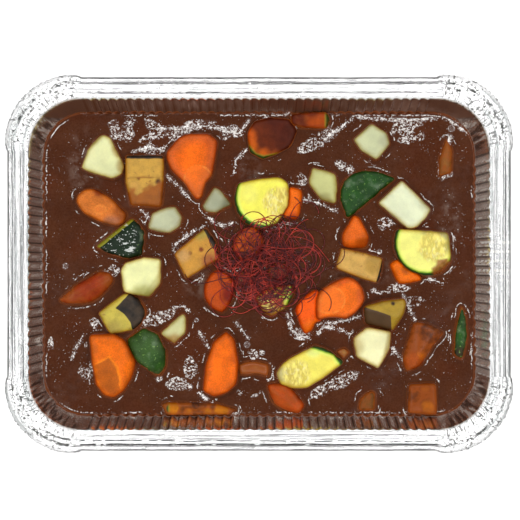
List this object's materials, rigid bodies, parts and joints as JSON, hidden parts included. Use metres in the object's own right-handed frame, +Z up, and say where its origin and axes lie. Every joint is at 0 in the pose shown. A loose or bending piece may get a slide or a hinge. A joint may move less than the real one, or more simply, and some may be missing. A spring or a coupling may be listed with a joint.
{
  "type": "curry with vegetables in a foil tray",
  "caption": "Vegetable curry in glossy brown sauce, with carrot, potato, courgette, aubergine and pumpkin under a nest of chili threads, filled into an oblong fluted foil tray.",
  "frame": {"origin": "centre of the tray's base, on the surface it stands on", "axes": "+Z up, +X along the tray's long side, +Y along its short side"},
  "size_m": [0.3218, 0.2398, 0.05],
  "materials": {
    "foil": "bright pressed foil, finely creased",
    "sauce": "wet, glossy dark brown",
    "potato": "moist boiled flesh, cream to pale green-yellow",
    "carrot": "moist boiled flesh, orange",
    "courgette": "moist pale yellow flesh with a green rim",
    "courgette_skin": "smooth dark green skin with pale flecks",
    "aubergine": "soft ochre flesh with a near black skin",
    "pumpkin": "sauce-coated orange flesh with a green rind",
    "sunk_piece": "sauce-coated brown-orange flesh",
    "chili_threads": "dry hair-fine dark red threads"
  },
  "bodies": {
    "root": {"foil_tray": "foil", "potato_1": "potato", "potato_2": "potato", "potato_3": "potato", "potato_4": "potato", "aubergine_3": "aubergine", "potato_5": "potato", "potato_6": "potato", "aubergine_5": "aubergine", "potato_7": "potato", "potato_8": "potato", "potato_9": "potato", "potato_10": "potato", "potato_11": "potato", "potato_12": "potato", "courgette_1": "courgette", "courgette_2": "courgette", "courgette_3": "courgette", "courgette_4": "courgette", "carrot_1": "carrot", "carrot_2": "carrot", "carrot_3": "carrot", "carrot_4": "carrot", "carrot_6": "carrot", "carrot_5": "carrot", "carrot_7": "carrot", "carrot_9": "carrot", "carrot_10": "carrot", "carrot_11": "carrot", "carrot_12": "carrot", "courgette_skin_1": "courgette_skin", "courgette_skin_2": "courgette_skin", "courgette_skin_3": "courgette_skin", "courgette_skin_4": "courgette_skin", "carrot_13": "carrot", "aubergine_1": "aubergine", "aubergine_2": "aubergine", "carrot_14": "carrot", "aubergine_6": "aubergine", "aubergine_4": "aubergine", "pumpkin_2": "pumpkin", "pumpkin_1": "pumpkin", "pumpkin_3": "pumpkin", "pumpkin_4": "pumpkin", "carrot_8": "carrot", "sunk_piece_1": "sunk_piece", "sunk_piece_2": "sunk_piece", "curry_sauce": "sauce", "chili_threads": "chili_threads"}
  },
  "joints": []
}
